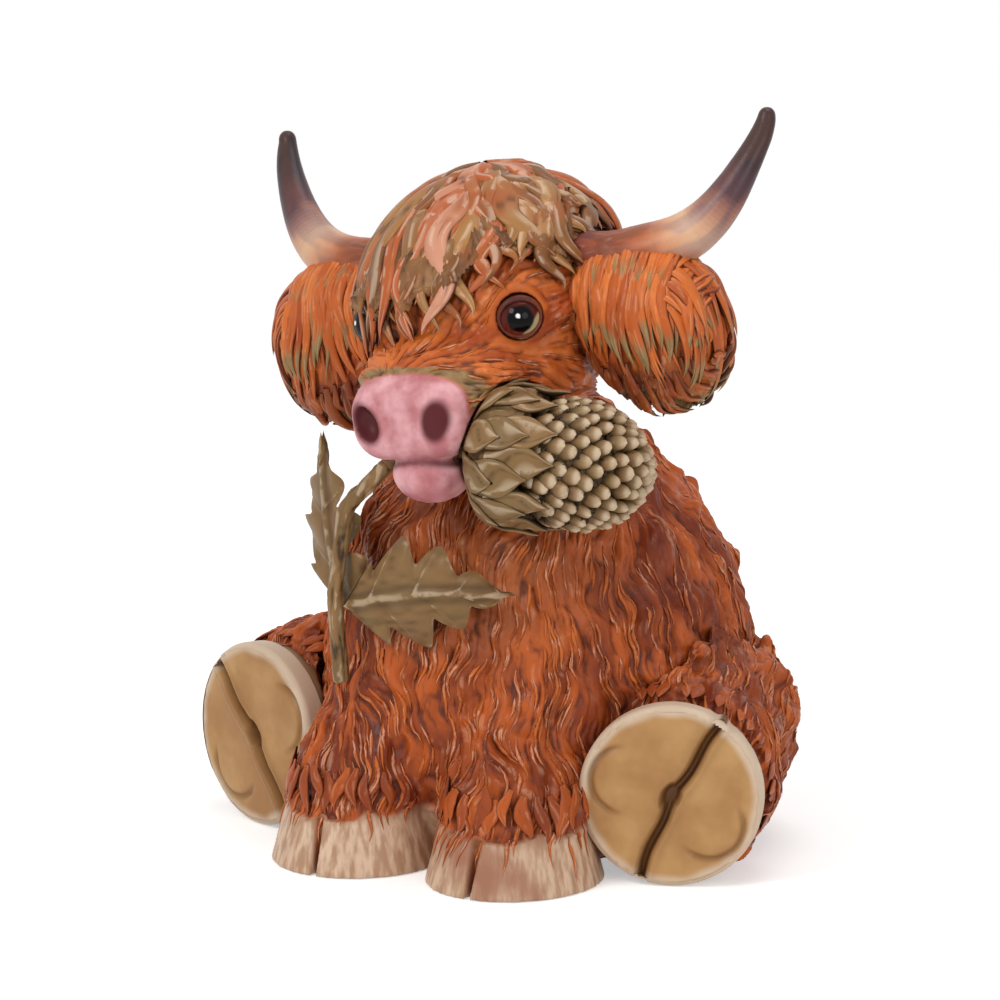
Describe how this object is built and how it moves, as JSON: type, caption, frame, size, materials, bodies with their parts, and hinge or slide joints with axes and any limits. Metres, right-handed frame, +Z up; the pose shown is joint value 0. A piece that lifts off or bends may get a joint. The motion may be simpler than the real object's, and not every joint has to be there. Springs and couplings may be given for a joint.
{
  "type": "cow figurine",
  "caption": "Seated shaggy Highland calf ornament in painted cast resin, holding a thistle across its mouth; stands free on a felted base.",
  "frame": {"origin": "middle of the figure's bounding box, on the surface that it stands on", "axes": "+Z up; the calf faces -Y and its left side is +X"},
  "size_m": [0.1532, 0.1334, 0.1849],
  "materials": {
    "fur_paint": "satin, hand painted over cold-cast resin",
    "hair_paint": "satin, hand painted over cold-cast resin",
    "horn_paint": "satin, shaded to a dark tip",
    "thistle_paint": "matt, dry-brushed",
    "eye_gloss": "gloss",
    "pin_steel": "drawn wire",
    "plug_rubber": "matt",
    "base_felt": "felt"
  },
  "bodies": {
    "root": {"base_felt": "base_felt", "base_plug": "plug_rubber", "body_casting": "fur_paint", "ear_left": "fur_paint", "ear_right": "fur_paint", "eye_left": "eye_gloss", "eye_right": "eye_gloss", "forelock": "hair_paint", "head_casting": "fur_paint", "hind_leg_left": "fur_paint", "hind_leg_right": "fur_paint", "horn_left": "horn_paint", "horn_pin_left": "pin_steel", "horn_pin_right": "pin_steel", "horn_right": "horn_paint", "leaf_front": "thistle_paint", "leaf_rear": "thistle_paint", "stem_wire": "pin_steel", "thistle_calyx": "thistle_paint", "thistle_flower": "thistle_paint", "thistle_stem": "thistle_paint"}
  },
  "joints": []
}
